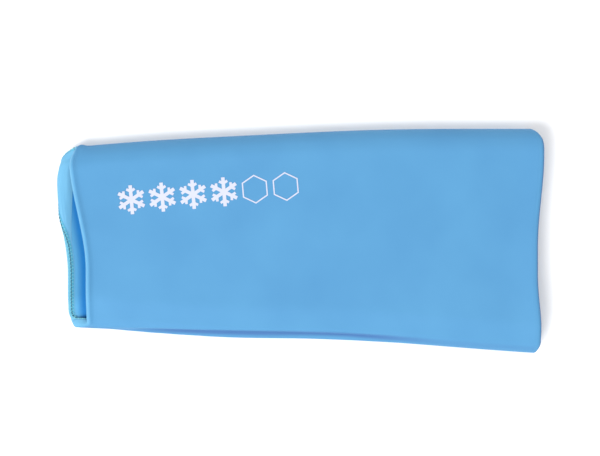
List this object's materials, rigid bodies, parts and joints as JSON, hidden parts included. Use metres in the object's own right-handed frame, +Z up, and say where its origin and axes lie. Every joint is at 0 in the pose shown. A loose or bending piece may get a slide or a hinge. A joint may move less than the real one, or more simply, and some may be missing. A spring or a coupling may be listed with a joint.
{
  "type": "cold compression sleeve",
  "caption": "Tapered slip-on gel sleeve for cold compression, lying flat, with hemmed mouths, an overlocked inner edge and a sewn side seam.",
  "frame": {"origin": "under the middle of the outline, on the surface that the sleeve lies on", "axes": "+X along the sleeve, from the narrow mouth to the wide one; +Z up, out of the printed front"},
  "size_m": [0.305, 0.141, 0.0182],
  "materials": {
    "cover_fabric": "fine stretch jersey, matte with a soft sheen",
    "lining_fabric": "fine stretch jersey, matte",
    "thread": "spun polyester thread",
    "pouch_film": "thin clear film",
    "gel": "soft clear gel",
    "print_film": "soft heat-transfer film"
  },
  "bodies": {
    "wide_half": {"outer_cover_wide_half": "cover_fabric", "inner_lining_wide_half": "lining_fabric", "pouch_outer_film_wide_half": "pouch_film", "gel_core_wide_half": "gel", "pouch_inner_film_wide_half": "pouch_film", "wide_end_hem": "cover_fabric", "wide_end_overlock": "thread", "wide_end_pouch_weld": "pouch_film", "cover_side_seam_wide_half": "thread", "lining_side_seam_wide_half": "thread", "pouch_upper_edge_weld_wide_half": "pouch_film", "pouch_lower_edge_weld_wide_half": "pouch_film"},
    "narrow_half": {"outer_cover_narrow_half": "cover_fabric", "inner_lining_narrow_half": "lining_fabric", "pouch_outer_film_narrow_half": "pouch_film", "gel_core_narrow_half": "gel", "pouch_inner_film_narrow_half": "pouch_film", "narrow_end_hem": "cover_fabric", "narrow_end_overlock": "thread", "narrow_end_pouch_weld": "pouch_film", "cover_side_seam_narrow_half": "thread", "lining_side_seam_narrow_half": "thread", "pouch_upper_edge_weld_narrow_half": "pouch_film", "pouch_lower_edge_weld_narrow_half": "pouch_film", "print_snowflake_1": "print_film", "print_snowflake_2": "print_film", "print_snowflake_3": "print_film", "print_snowflake_4": "print_film", "print_hexagon_1": "print_film", "print_hexagon_2": "print_film"}
  },
  "joints": [
    {"name": "fold", "type": "hinge", "parent": "wide_half", "child": "narrow_half", "pos_m": [0.006, 0, 0.023], "axis": [0, 1, 0], "range_deg": [0, 175]}
  ]
}
